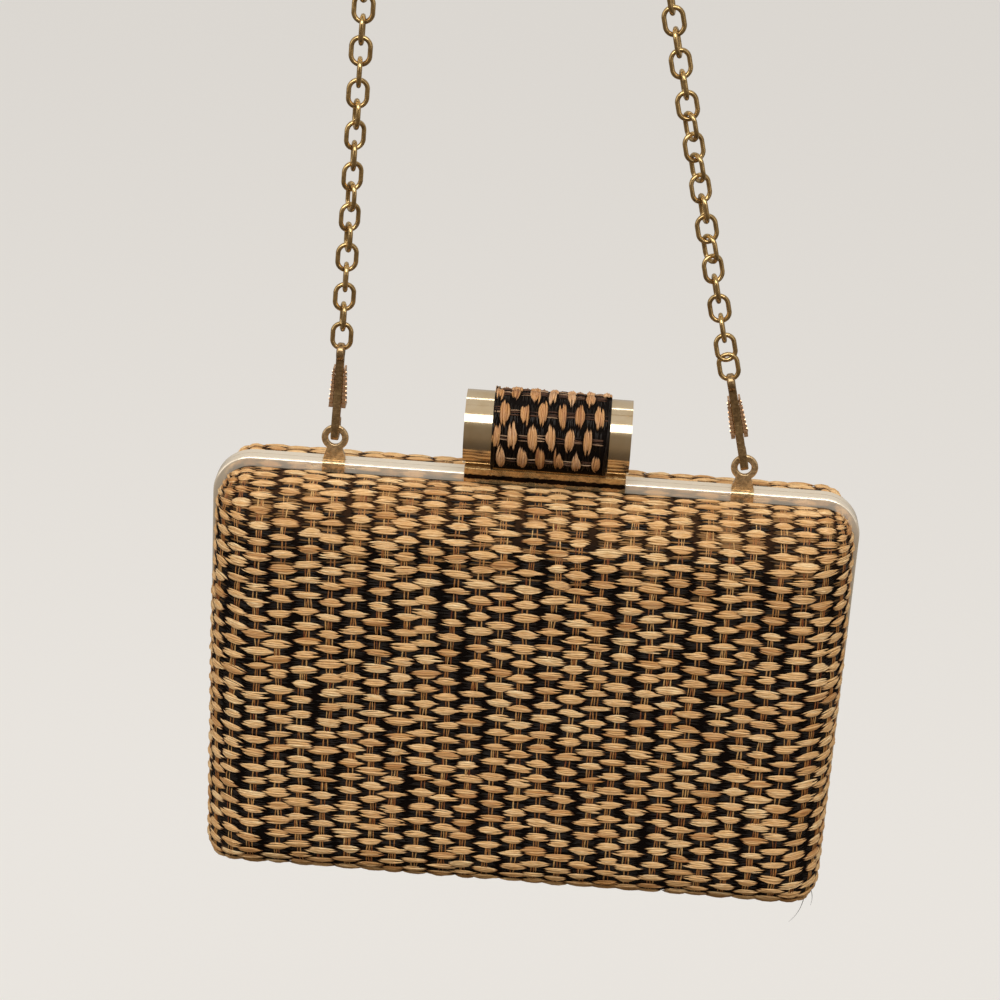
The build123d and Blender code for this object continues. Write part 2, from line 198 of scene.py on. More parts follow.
softbox("key_upper_front", lamp_place(49), middle, 1.8, 0.54, 15.5, (1.0, 0.985, 0.96))
softbox("strip_behind", lamp_place(116), middle, 1.6, 0.07, 1.6, (1.0, 0.98, 0.95))
softbox("window_left", (-1300, -700, 500), middle, 0.9, 1.2, 4, (1.0, 0.97, 0.94))
softbox("window_right", (1200, -1000, 400), middle, 0.6, 1.2, 2, (1.0, 0.98, 0.96))

# %% [markdown]
# ## Shader helpers
# Most finishes here need the same few effects: a faint mottle in plated metal,
# fibres along a strand of raffia, and threads in cloth. Each is a node group
# with named inputs, built once, and every material places it with its own
# values. Base colours are written as linear numbers.

# %% A small way to write node trees
class Tree:
    """Thin helper that adds nodes to a tree and joins them."""

    def __init__(self, tree):
        self.tree = tree

    def add(self, kind, settings=None, **inputs):
        node = self.tree.nodes.new("ShaderNode" + kind)
        for key, value in (settings or {}).items():
            setattr(node, key, value)
        for key, value in inputs.items():
            self.feed(node, key.replace("_", " "), value)
        return node

    def feed(self, node, name, value):
        socket = node.inputs[int(name[1:])] if name[0] == "i" and name[1:].isdigit() else node.inputs[name]
        if isinstance(value, bpy.types.NodeSocket):
            self.tree.links.new(value, socket)
        else:
            socket.default_value = value

    def math(self, operation, first, second=0.0):
        return self.add("Math", {"operation": operation}, i0=first, i1=second).outputs[0]

    def times(self, first, second):
        return self.math("MULTIPLY", first, second)

    def plus(self, first, second):
        return self.math("ADD", first, second)

    def blend(self, share, dark, bright):
        return self.add("Mix", {"data_type": "RGBA"}, i0=share, i6=dark, i7=bright).outputs[2]

    def remap(self, value, low, high, to_low=0.0, to_high=1.0):
        node = self.add("MapRange", {"interpolation_type": "SMOOTHSTEP"}, Value=value)
        for key, number in zip(("From Min", "From Max", "To Min", "To Max"), (low, high, to_low, to_high)):
            self.feed(node, key, number)
        return node.outputs["Result"]

    def place(self, group, **inputs):
        node = self.tree.nodes.new("ShaderNodeGroup")
        node.node_tree = group
        for key, value in inputs.items():
            self.feed(node, key.replace("_", " "), value)
        return node


print("node helper ready")

# %% The room's light
room = bpy.data.worlds.new("room")
bpy.context.scene.world = room
room.use_nodes = True
room.node_tree.nodes.clear()
sky = Tree(room.node_tree)
direction = sky.add("SeparateXYZ", {}, Vector=sky.add("TexCoord").outputs["Generated"])


def sky_ramp(*stops):
    """A colour ramp over height, -1 to 1; stops are (height, linear colour)."""
    spread = sky.add("MapRange", {}, From_Min=-1, From_Max=1, Value=direction.outputs["Z"])
    ramp = sky.add("ValToRGB", {}, Fac=spread.outputs["Result"])
    while len(ramp.color_ramp.elements) < len(stops):
        ramp.color_ramp.elements.new(0.5)
    for element, (at, colour) in zip(ramp.color_ramp.elements, stops):
        element.position, element.color = (at + 1) / 2, (*colour, 1)
    return ramp.outputs["Color"]


ahead_of_bag = sky_ramp(
    (-1.0, (0.05, 0.035, 0.025)), (-0.55, (0.11, 0.08, 0.05)), (-0.2, (0.20, 0.15, 0.10)), (0.35, (0.21, 0.165, 0.115)),
    (0.60, (0.34, 0.29, 0.23)), (0.88, (0.62, 0.56, 0.48)), (1.0, (0.68, 0.63, 0.56)))
behind_bag = sky_ramp(
    (-1.0, (0.10, 0.07, 0.05)), (-0.35, (0.30, 0.27, 0.23)), (0.05, (0.52, 0.48, 0.43)), (1.0, (0.62, 0.57, 0.50)))
how_far_behind = sky.remap(direction.outputs["Y"], -0.25, 0.35)
light = sky.add("Background", {}, Color=sky.blend(how_far_behind, ahead_of_bag, behind_bag), Strength=1.0)
sky.add("OutputWorld", {}, Surface=light.outputs["Background"])
bpy.context.scene.view_settings.view_transform = "Standard"
print("room light set")

# %% A shader group and a colour
def new_group(name, inputs, outputs):
    """An empty shader group. inputs are (name, kind, default); outputs are (name, kind)."""
    group = bpy.data.node_groups.new(name, "ShaderNodeTree")
    for label, kind, default in inputs:
        socket = group.interface.new_socket(name=label, in_out="INPUT", socket_type="NodeSocket" + kind)
        if default is not None:
            socket.default_value = default
    for label, kind in outputs:
        group.interface.new_socket(name=label, in_out="OUTPUT", socket_type="NodeSocket" + kind)
    tree = Tree(group)
    return group, tree, group.nodes.new("NodeGroupInput"), group.nodes.new("NodeGroupOutput")


def linear(r, g, b):
    """A linear colour from 0 to 255 display values."""
    c = np.array([r, g, b]) / 255
    return (*np.where(c <= 0.04045, c / 12.92, ((c + 0.055) / 1.055) ** 2.4).tolist(), 1.0)


print("tan raffia, linear", [round(v, 3) for v in linear(225, 190, 130)[:3]])

# %% Node group: plating
plating, tree, given, out = new_group(
    "plating",
    [("Position", "Vector", None), ("Mottle Size", "Float", 6.0), ("Scratch", "Float", 0.3)],
    [("Mottle", "Float"), ("Rough", "Float"), ("Height", "Float")],
)
# Sizes are in millimetres: position times 1000 over the size gives the noise scale.
per_mm = tree.math("DIVIDE", 1000.0, given.outputs["Mottle Size"])
cloud = tree.add("TexNoise", {}, Vector=given.outputs["Position"], Scale=per_mm, Detail=3.0, Roughness=0.6)
haze = tree.add("TexNoise", {}, Vector=given.outputs["Position"], Scale=900.0, Detail=4.0, Roughness=0.7)
hairline = tree.add("TexNoise", {}, Vector=tree.add(
    "Mapping", {}, Vector=given.outputs["Position"], Scale=(60.0, 900.0, 900.0)).outputs[0],
    Scale=4.0, Detail=2.0)
tree.feed(out, "Mottle", tree.remap(cloud.outputs["Fac"], 0.35, 0.65))
marks = tree.times(tree.remap(hairline.outputs["Fac"], 0.55, 0.75), given.outputs["Scratch"])
tree.feed(out, "Rough", tree.plus(tree.times(haze.outputs["Fac"], 0.10), tree.times(marks, 0.12)))
tree.feed(out, "Height", tree.plus(haze.outputs["Fac"], marks))
print(plating.name, "group ready")

# %% Node group: fibres
fibres, tree, given, out = new_group(
    "fibres",
    [("Run", "Vector", None), ("Fibre Width", "Float", 0.12), ("Fibre Length", "Float", 3.0), ("Shade", "Float", 0.5)],
    [("Streak", "Float"), ("Height", "Float"), ("Knot", "Float")],
)
# The run is a strand's own UV in millimetres: U along it, V across it.
per_length = tree.math("DIVIDE", 1.0, given.outputs["Fibre Length"])
per_width = tree.math("DIVIDE", 1.0, given.outputs["Fibre Width"])
stretch = tree.add("CombineXYZ", {}, X=per_length, Y=per_width, Z=1.0)
along = tree.add("VectorMath", {"operation": "MULTIPLY"}, i0=given.outputs["Run"], i1=stretch.outputs[0])
fine = tree.add("TexNoise", {}, Vector=along.outputs[0], Scale=1.0, Detail=3.0, Roughness=0.65)
broad = tree.add("TexNoise", {}, Vector=given.outputs["Run"], Scale=0.35, Detail=2.0)
streak = tree.remap(fine.outputs["Fac"], 0.34, 0.66)
tree.feed(out, "Streak", streak)
tree.feed(out, "Height", tree.times(fine.outputs["Fac"], given.outputs["Shade"]))
tree.feed(out, "Knot", tree.remap(broad.outputs["Fac"], 0.35, 0.65))
print(fibres.name, "group ready")

# %% Node group: threads
threads, tree, given, out = new_group(
    "threads",
    [("Run", "Vector", None), ("Thread", "Float", 0.5)],
    [("Over", "Float"), ("Height", "Float"), ("Slub", "Float")],
)
# Two waves a half turn apart along and across give over and under.
scale = tree.math("DIVIDE", 3.14159, given.outputs["Thread"])
parts = tree.add("SeparateXYZ", {}, Vector=given.outputs["Run"])
warp_wave = tree.math("SINE", tree.times(parts.outputs[0], scale))
weft_wave = tree.math("SINE", tree.times(parts.outputs[1], scale))
crossing = tree.times(warp_wave, weft_wave)
bars = tree.plus(tree.math("ABSOLUTE", warp_wave), tree.math("ABSOLUTE", weft_wave))
slub = tree.add("TexNoise", {}, Vector=given.outputs["Run"], Scale=0.8, Detail=3.0)
tree.feed(out, "Over", tree.remap(crossing, -0.25, 0.25))
tree.feed(out, "Height", tree.times(bars, 0.5))
tree.feed(out, "Slub", tree.remap(slub.outputs["Fac"], 0.35, 0.65))
print(threads.name, "group ready")

# %% Starting a material
def new_finish(name):
    """A material with its Principled shader and a Tree to add to; returns both and the shader."""
    material = bpy.data.materials.new(name)
    material.use_nodes = True
    shader = material.node_tree.nodes["Principled BSDF"]
    return material, Tree(material.node_tree), shader


def paint(tree, shader, colour, rough, height, relief_mm):
    """Gives a shader its colour, roughness and bump; relief is the height's full depth."""
    tree.feed(shader, "Base Color", colour)
    tree.feed(shader, "Roughness", rough)
    node = tree.add("Bump", {}, Height=height, Strength=1.0, Distance=relief_mm / 1000)
    tree.feed(shader, "Normal", node.outputs["Normal"])


def dress(piece, material):
    """Gives a piece or a CAD node one material in place of its own."""
    piece.data.materials.clear()
    piece.data.materials.append(material)


# %% [markdown]
# ## Metal finishes
# The frame is thin pressed sheet with a pale champagne plate; the clasp is the
# same metal, a little yellower; the rings, the clips and the chain are browner
# and duller, as small cast parts are. All come from one recipe, each with its
# own colour, roughness and mottle.

# %% Plated metals
def plated(name, colour, dull, rough, mottle_mm, scratch, relief_mm, metal=1.0, rib_mm=0.0, slot_shade_mm=None):
    """Plated metal: colour varies to dull with the mottle; relief is in millimetres.

    metal is the share of mirror-like plate: satin plating scatters the rest.
    rib_mm is the pitch of slanting pressed ribs, sin(2 pi (z + 0.6 y) / pitch); their troughs get painted shade in the
    colour as well as a lower bump.
    The slot argument is the middle and half height of a band of painted shade, up from the frame's top, standing for a
    recessed slot that is not modelled.
    """
    material, tree, shader = new_finish(name)
    where = tree.add("TexCoord").outputs["Object"]
    marks = tree.place(plating, Position=where, Mottle_Size=mottle_mm, Scratch=scratch)
    tone_shift = tree.times(marks.outputs["Mottle"], 0.55)
    height = marks.outputs["Height"]
    axes = tree.add("SeparateXYZ", {}, Vector=where)
    if rib_mm:
        slant = tree.plus(axes.outputs[2], tree.times(axes.outputs[1], 0.6))
        wave = tree.math("SINE", tree.times(slant, 2000 * math.pi / rib_mm))
        trough = tree.remap(wave, 0.1, -0.9)
        # The rib troughs pull the colour to dull: painted shade in the grooves, added to the mottle.
        tone_shift = tree.math("MAXIMUM", tone_shift, tree.times(trough, 0.85))
        height = tree.math("SUBTRACT", height, tree.times(trough, 6.0))
    surface = tree.blend(tone_shift, linear(*colour), linear(*dull))
    # Painted shade: a dark band on the flat face stands for the shade in a recessed slot.
    if slot_shade_mm:
        off = tree.math("SUBTRACT", axes.outputs[2], bag_origin[2] + slot_shade_mm[0] / 1000)
        ragged = tree.plus(tree.times(tree.math("ABSOLUTE", off), 1000.0),
                           tree.times(marks.outputs["Mottle"], 0.30))
        shade = tree.remap(ragged, slot_shade_mm[1] + 0.22, slot_shade_mm[1] - 0.02)
        surface = tree.blend(shade, surface, linear(30, 18, 9))
    paint(tree, shader, surface, tree.plus(marks.outputs["Rough"], rough), height, relief_mm)
    shader.inputs["Metallic"].default_value = metal
    return material


frame_plate = plated("champagne_plate", (250, 241, 225), (240, 227, 206), 0.12, 22.0, 0.3, 0.0006, 0.58)
clasp_plate = plated("clasp_plate", (224, 207, 178), (210, 186, 146), 0.07, 9.0, 0.4, 0.001, 0.94)
# The clasp base's dark band is painted shade for a slot between two ledges, not a modelled recess.
base_plate = plated("clasp_base_plate", (244, 208, 150), (158, 116, 68), 0.12, 1.1, 1.0, 0.012, 0.80,
                    slot_shade_mm=(-0.75, 0.75))
ring_plate = plated("ring_plate", (222, 192, 148), (128, 102, 66), 0.16, 0.9, 1.0, 0.014, 0.74)
clip_plate = plated("clip_plate", (176, 148, 108), (106, 84, 56), 0.22, 1.0, 1.0, 0.014, 0.86)
# The gate's ribs carry painted shade in their troughs as well as bump.
gate_plate = plated("gate_plate", (238, 200, 164), (188, 146, 108), 0.16, 1.2, 1.0, 0.008, 0.80, rib_mm=1.15)
chain_plate = plated("chain_plate", (210, 180, 126), (132, 106, 66), 0.13, 1.6, 1.0, 0.008, 0.90)
pin_steel = plated("pin_steel", (205, 198, 188), (150, 142, 130), 0.22, 2.0, 1.0, 0.006, 0.95)

plate_of = (
    ("_frame", frame_plate), ("_tube", clasp_plate), ("_sleeve", clasp_plate), ("end_cap", clasp_plate),
    ("_base", base_plate), ("chain_eye", ring_plate), ("clip_hook", clip_plate), ("clip_gate", gate_plate),
    ("clip_pin", pin_steel), ("clip_spring", pin_steel), ("hinge", pin_steel),
)
for name, node in nodes.items():
    for part, plate in plate_of:
        if part in name:
            dress(node, plate)
print("metal nodes dressed")

# %% [markdown]
# ## The chain
# A cable chain is one oval wire link after another, each turned about a
# quarter turn from the last. It hangs from a round peg, so its line is one
# smooth curve: up from each clip at a lean and round over the peg. The curve is
# a NURBS spline drawn by a short list of points, and the links are set out
# along points read back from it. One link's surface is worked out once and
# then placed by a rotation for each link, all as arrays.

# %% Chain route
chain_route_mm = np.array([
    (-27.117, 0, -256.015), (-20.66, 0, -38.48), (-19.415, 0, 3.5),
    (15.738, 0, 3.5), (25.61, 0, -37.32), (78.708, 0, -256.783),
])

route_data = bpy.data.curves.new("chain_route", "CURVE")
route_data.dimensions = "3D"
route_data.resolution_u = 64
spline = route_data.splines.new("NURBS")
spline.points.add(len(chain_route_mm) - 1)
for point, place in zip(spline.points, chain_route_mm / 1000):
    point.co = (*place, 1)
spline.order_u = 3
spline.use_endpoint_u = True
route_holder = bpy.data.objects.new("chain_route", route_data)
bpy.context.scene.collection.objects.link(route_holder)
route_mesh = bpy.data.meshes.new_from_object(route_holder)
chain_line = np.empty(len(route_mesh.vertices) * 3)
route_mesh.vertices.foreach_get("co", chain_line)
chain_line = chain_line.reshape(-1, 3)
bpy.data.objects.remove(route_holder)
bpy.data.meshes.remove(route_mesh)
chain_run = np.concatenate([[0], np.cumsum(np.linalg.norm(np.diff(chain_line, axis=0), axis=1))])
print("chain line", len(chain_line), "points", round(chain_run[-1], 4), "m")

# %% Chain links
wire_radius = 0.00066
link_length, link_width = 0.0085, 0.0063
first_link = 0.0020
wanted_pitch = 0.00565
links = int(round((chain_run[-1] - 2 * first_link) / wanted_pitch)) + 1
link_at = np.linspace(first_link, chain_run[-1] - first_link, links)
look_along = 0.002


def on_chain(run):
    """Points of the chain's line at these runs along it, in metres."""
    return np.stack([np.interp(run, chain_run, chain_line[:, k]) for k in range(3)], -1)


def unit(vectors):
    """Each vector scaled to length one."""
    return vectors / np.linalg.norm(vectors, axis=-1, keepdims=True)


def oval_link(length, width, wire, around=28, ring=8):
    """A link: a wire of the given radius along an oval with straight sides.

    The oval's line is a half circle of radius width/2 - wire at each end, with
    straight sides between. Returns points as (across, out, along) and quads.
    """
    bend = width / 2 - wire
    straight = length / 2 - wire - bend
    turn = np.linspace(0, 2 * np.pi, around, endpoint=False) + np.pi / around
    centre = np.stack([bend * np.cos(turn), bend * np.sin(turn) + np.sign(np.sin(turn)) * straight], -1)
    out_dir = np.stack([np.cos(turn), np.sin(turn)], -1)
    tube = np.linspace(0, 2 * np.pi, ring, endpoint=False)
    flat = centre[:, None, :] + wire * np.cos(tube)[None, :, None] * out_dir[:, None, :]
    out = np.broadcast_to(wire * np.sin(tube), (around, ring))
    points = np.stack([flat[..., 0], out, flat[..., 1]], -1)
    quads = grid_quads(around + 1, ring, wrap=True)
    quads = np.where(quads >= around * ring, quads - around * ring, quads)
    return points.reshape(-1, 3), quads[:, ::-1]


link_points, link_quads = oval_link(link_length, link_width, wire_radius)
swing = np.random.default_rng(11)
number = np.arange(links)
quarter = np.where(number % 2 == 0, 0.0, np.pi / 2)
from_end = np.minimum(number, links - 1 - number)
slow_twist = 0.45 * np.sin(number * 0.19 + 0.4) * np.clip(from_end / 6, 0, 1)
twist = quarter + slow_twist + swing.normal(0, 0.12, links)
twist[[0, -1]] = 0.0
tangent = unit(on_chain(link_at + look_along) - on_chain(link_at - look_along))
side = unit(np.cross(np.broadcast_to([0.0, 1.0, 0.0], tangent.shape), tangent))
depth = np.cross(tangent, side)
across = np.cos(twist)[:, None] * side + np.sin(twist)[:, None] * depth
outward = -np.sin(twist)[:, None] * side + np.cos(twist)[:, None] * depth
placed = (
    on_chain(link_at)[:, None, :]
    + link_points[None, :, 0, None] * across[:, None, :]
    + link_points[None, :, 1, None] * outward[:, None, :]
    + link_points[None, :, 2, None] * tangent[:, None, :]
)
all_quads = (link_quads[None] + (number * len(link_points))[:, None, None]).reshape(-1, 4)
chain = new_piece("chain_links", placed.reshape(-1, 3), all_quads)
dress(chain, chain_plate)
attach(chain, "front_half")
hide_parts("chain")
print("links", links, "pitch", round(float(link_at[1] - link_at[0]) * 1000, 2), "mm")

# %% [markdown]
# ## The woven covers
# Each half's cover is a rectangle of weave stretched over a domed shell and
# tucked under the frame's lip, so it has two descriptions: a flat cloth with
# its own across and up in millimetres, and the dome that the cloth is bent
# over. One function takes any flat place, and a height over the cloth, to a
# point in the bag. Every strand can then be designed flat and is bent with
# the cloth, bunching up at the corners as real weave does.

# %% The dome's side
half_width, half_height = frame_width / 2, frame_height / 2
frame_depth = 3.1
shell_bulge, roll_in, roll_power = 21.5, 15.0, 2.6
cover_inset, side_swell = 2.0, 0.6
tuck_depth, tuck_reach = 1.05, 1.2
corner_top, corner_bottom = 11.0, 9.0

out_share = np.sin(np.linspace(0, np.pi / 2, 600))
side_inset = (
    cover_inset
    + roll_in * (1 - np.sqrt(1 - out_share**roll_power))
    - side_swell * np.sin(np.pi * np.minimum(1, out_share / 0.9))
)
side_depth = frame_depth + shell_bulge * out_share
side_run = np.concatenate([[0], np.cumsum(np.hypot(np.diff(side_inset), np.diff(side_depth)))])
roll_length = side_run[-1]
# The side's outward normal has one share towards the bag's edge and one away
# from the split.
edge_share = np.gradient(side_depth, side_run)
face_share = np.gradient(side_inset, side_run)
norm = np.hypot(edge_share, face_share)
edge_share, face_share = edge_share / norm, face_share / norm
reach_across = half_width - side_inset[-1] + roll_length
reach_up = half_height - side_inset[-1] + roll_length
print("roll", round(roll_length, 2), "flat cloth", round(2 * reach_across, 1), "by", round(2 * reach_up, 1), "mm")

# %% From flat cloth to dome
# Rows stay level and columns upright right into the corners, as they do on the
# real bag. Each run in from a straight edge gives a drop: 1 at the split, 0 on
# the flat front. In a corner the two drops add up by this power.
drop_power = 2.4


def drop_from(run):
    """1 at the cloth's edge, 0 where the roll ends on the flat front."""
    return 1 - np.interp(run, side_run, out_share)


def inset_from(run):
    """How far in from the frame's edge a run lands, flat front and all."""
    return np.interp(run, side_run, side_inset) + np.maximum(run - roll_length, 0)


def both_drops(across, up):
    """The drop from each pair of edges, and the two together, at most 1."""
    drop_a = drop_from(reach_across - np.abs(across))
    drop_u = drop_from(reach_up - np.abs(up))
    return drop_a, drop_u, np.minimum((drop_a**drop_power + drop_u**drop_power) ** (1 / drop_power), 1)


def run_in(across, up):
    """How far a flat place lies in from the cloth's edge, round corners and all."""
    nearest = np.minimum(reach_across - np.abs(across), reach_up - np.abs(up))
    drop = both_drops(across, up)[2]
    return np.where(drop > 0, np.minimum(nearest, np.interp(1 - drop, out_share, side_run)), nearest)


def cover_point(across, up, proud, half):
    """Where a flat place (across, up) lands, proud millimetres off the cloth.

    X comes from the run across and Z from the run up, each through the dome's
    side. The outline's corner is then rounded: with p and q from 0 to 1 over
    the corner's square, p becomes p sqrt(1 - q^2 / 2) and q becomes
    q sqrt(1 - p^2 / 2). The depth comes from both drops together, and close to
    the frame the cloth tucks in under its lip.
    """
    a, u = np.abs(across), np.abs(up)
    drop_a, drop_u, drop = both_drops(a, u)
    corner = np.where(up > 0, corner_top, corner_bottom)
    square = corner - cover_inset + 0.3
    p = (corner - inset_from(reach_across - a)) / square
    q = (corner - inset_from(reach_up - u)) / square
    p_in, q_in = np.maximum(p, 0), np.maximum(q, 0)
    x = half_width - corner + square * (p - p_in * (1 - np.sqrt(1 - q_in**2 / 2)))
    z = half_height - corner + square * (q - q_in * (1 - np.sqrt(1 - p_in**2 / 2)))
    rolled = np.minimum(run_in(across, up), roll_length)
    edge, face = np.interp(rolled, side_run, edge_share), np.interp(rolled, side_run, face_share)
    outward = proud * edge - tuck_depth * np.exp(-(((1 - drop) * shell_bulge / tuck_reach) ** 2))
    length = np.hypot(drop_a, drop_u) + 1e-9
    x, z = x + outward * drop_a / length, z + outward * drop_u / length
    y = frame_depth + shell_bulge * (1 - drop) + proud * face
    return np.stack([np.sign(across) * x, half * y, np.sign(up) * z - half_height], -1)


print("middle of the front", cover_point(np.array([0.1]), np.array([0.1]), 0, FRONT).round(2))

# %% [markdown]
# A strand is the unit of the whole weave: a thin strip of raffia that rises
# out of the cloth, swells, and dives again. Its outline is six rings of four
# points, so thousands of them stay light. A stitch is four to six strands
# that share a middle and fan apart. Every strand also gets two numbers for the
# material: its tone, one per strand, and its rise, which is 1 at its middle
# and 0 where it dives.

# %% Strands
strand_stations = np.array([-1.0, -0.70, -0.26, 0.26, 0.70, 1.0])


def strands(across, up, half_length, half_height_mm, fan, bow, high, low, thickness, tilt=0.0, upright=False):
    """Points of many strands on the flat cloth, as (across, up, proud) arrays.

    With s from -1 to 1 along the strand and e = 1 - s^2, its middle line is up
    + fan * (bow + (1 - bow) e) + tilt s, proud from low at its tips to high at
    its middle as e^0.8, and its half height and thickness shrink as e^0.7.
    """
    given = (across, up, half_length, half_height_mm, fan, bow, high, low, thickness, tilt)
    across, up, half_length, half_height_mm, fan, bow, high, low, thickness, tilt = (
        v[..., None, None] for v in np.broadcast_arrays(*given))
    s = strand_stations[None, :, None]
    e = 1 - s**2
    swell = np.maximum(e, 0.0) ** 0.7 + 0.05
    around = np.array([0, 1, 2, 3]) * np.pi / 2
    sideways, lift = np.cos(around)[None, None, :], np.sin(around)[None, None, :]
    line_up = fan * (bow + (1 - bow) * e) + tilt * s + half_height_mm * swell * sideways
    line_along = half_length * s + 0 * sideways
    proud = low + (high - low) * e**0.8 + thickness * swell * lift
    if upright:
        points = np.stack([across + line_up, up + line_along, proud], -1)
    else:
        points = np.stack([across + line_along, up + line_up, proud], -1)
    return points.reshape(len(across), -1, 3)


def tube_quads(rings):
    """Four sides for each pair of rings and two end caps."""
    last = 4 * (rings - 1)
    sides = grid_quads(rings, 4, wrap=True)[:, ::-1]
    return np.concatenate([sides, [[0, 1, 2, 3], [last + 3, last + 2, last + 1, last]]])


def strand_quads(count, upright=False):
    """The quads of count strands, numbered strand by strand."""
    one = tube_quads(len(strand_stations))
    if upright:
        one = one[:, ::-1]
    return (one[None] + (np.arange(count) * len(strand_stations) * 4)[:, None, None]).reshape(-1, 4)


def strand_numbers(count, half_length, half_height_mm, tone, seeds):
    """Per point: UV in millimetres with its own shift per strand, tone and rise (1 - |s|)."""
    s = strand_stations[None, :, None]
    v = np.array([1.0, 0.0, -1.0, 0.0])[None, None, :]
    u_run = half_length[:, None, None] * s + 0 * v + seeds[:, None, None] * 37.0
    v_run = half_height_mm[:, None, None] * v + 0 * s + seeds[:, None, None] * 11.0
    uv = np.stack([u_run, v_run], -1).reshape(-1, 2)
    rise = np.broadcast_to(1 - np.abs(s), (count, len(strand_stations), 4)).ravel()
    return uv, np.repeat(tone, len(strand_stations) * 4), rise


print("quads in one strand", len(strand_quads(1)))

# %% [markdown]
# The weave is plain: in one column the tan weft rides over the warp at every
# other row, and in the next column at the rows between. So the stitches sit
# in a staggered grid. Where the weft dives, black raffia fills the hollow and
# two to four thin warp threads cross it from stitch to stitch. Handwork is
# never even, so columns wander, rows drift and every stitch differs a little.

# %% Weave layout
column_pitch, row_pitch = 6.75, 4.62
weave_top_edge = 2.0
# The CAD cover is the weave's outer face, so the cloth lies a strand's rise
# below it along the top. Beside and below it swells out over the frame's edge.
sink_top, sink_low = 0.86, -0.22


def sink_at(up):
    """How far the cloth lies below the CAD cover, in millimetres."""
    return sink_low + (sink_top - sink_low) * np.clip((up - 14) / 44, 0, 1)


def staggered(seed, edge=0.0):
    """Stitch centres and hollow centres on the flat cloth, with hand-made drift."""
    rng = np.random.default_rng(seed)
    columns = int(2 * reach_across / column_pitch) + 1
    rows = int(2 * reach_up / (row_pitch / 2)) + 1
    c, r = np.meshgrid(np.arange(columns), np.arange(rows), indexing="ij")
    a = (c - (columns - 1) / 2) * column_pitch
    u = reach_up - weave_top_edge - r * row_pitch / 2
    wave = rng.uniform(0, 2 * np.pi, 6)
    drift_a = 0.5 * np.sin(u / 17 + wave[0] + c * 1.9) + 0.35 * np.sin(u / 6.1 + c * 2.7 + wave[1])
    drift_u = 0.45 * np.sin(a / 23 + wave[2]) + 0.4 * np.sin(c * 2.4 + wave[3]) + 0.3 * np.sin(u / 11 + c * 1.3)
    a = a + drift_a + rng.normal(0, 0.16, a.shape)
    u = u + drift_u + rng.normal(0, 0.14, u.shape)
    over = (c + r) % 2 == 0
    inside = run_in(a, u) > 1.0
    return (a[over & inside], u[over & inside]), (a[~over & inside], u[~over & inside]), rng


def near_edge(across, up):
    """0 at the cloth's edge under the lip, 1 from three millimetres in."""
    return np.clip((run_in(across, up) - 0.6) / 2.4, 0, 1)


print("weave pitch", column_pitch, "by", row_pitch, "mm")

# %% Bending the cloth over a half
def bend_over(flat_points, half):
    """Flat (across, up, proud) points bent over the dome and moved to the row's frame."""
    across, up, proud = (flat_points[..., k].ravel() for k in range(3))
    near = near_edge(across, up)
    proud = np.where(proud > 0, proud * (0.15 + 0.85 * near), proud) - sink_at(up) * (0.3 + 0.7 * near)
    across = np.clip(across, -reach_across + 0.05, reach_across - 0.05)
    up = np.clip(up, -reach_up + 0.05, reach_up - 0.05)
    return to_row(cover_point(across, up, proud, half))


def strand_piece(name, flat_points, bend, half, numbers, upright=False):
    """A mesh of many strands; bend takes flat points to the bag, numbers are UV, tone and rise."""
    quads = strand_quads(len(flat_points), upright)
    uv, tones, rise = numbers
    piece = new_piece(name, bend(flat_points), quads if half == FRONT else quads[:, ::-1], tone=tones, rise=rise)
    lay_uv(piece, uv)
    return piece


# %% Weaving a piece of cloth
def in_groups(counts):
    """For each member of each group: its group's number and its place from -0.5 to 0.5."""
    owner = np.repeat(np.arange(len(counts)), counts)
    order = np.arange(len(owner)) - np.repeat(np.cumsum(counts) - counts, counts)
    return owner, (order - (counts[owner] - 1) / 2) / counts[owner]


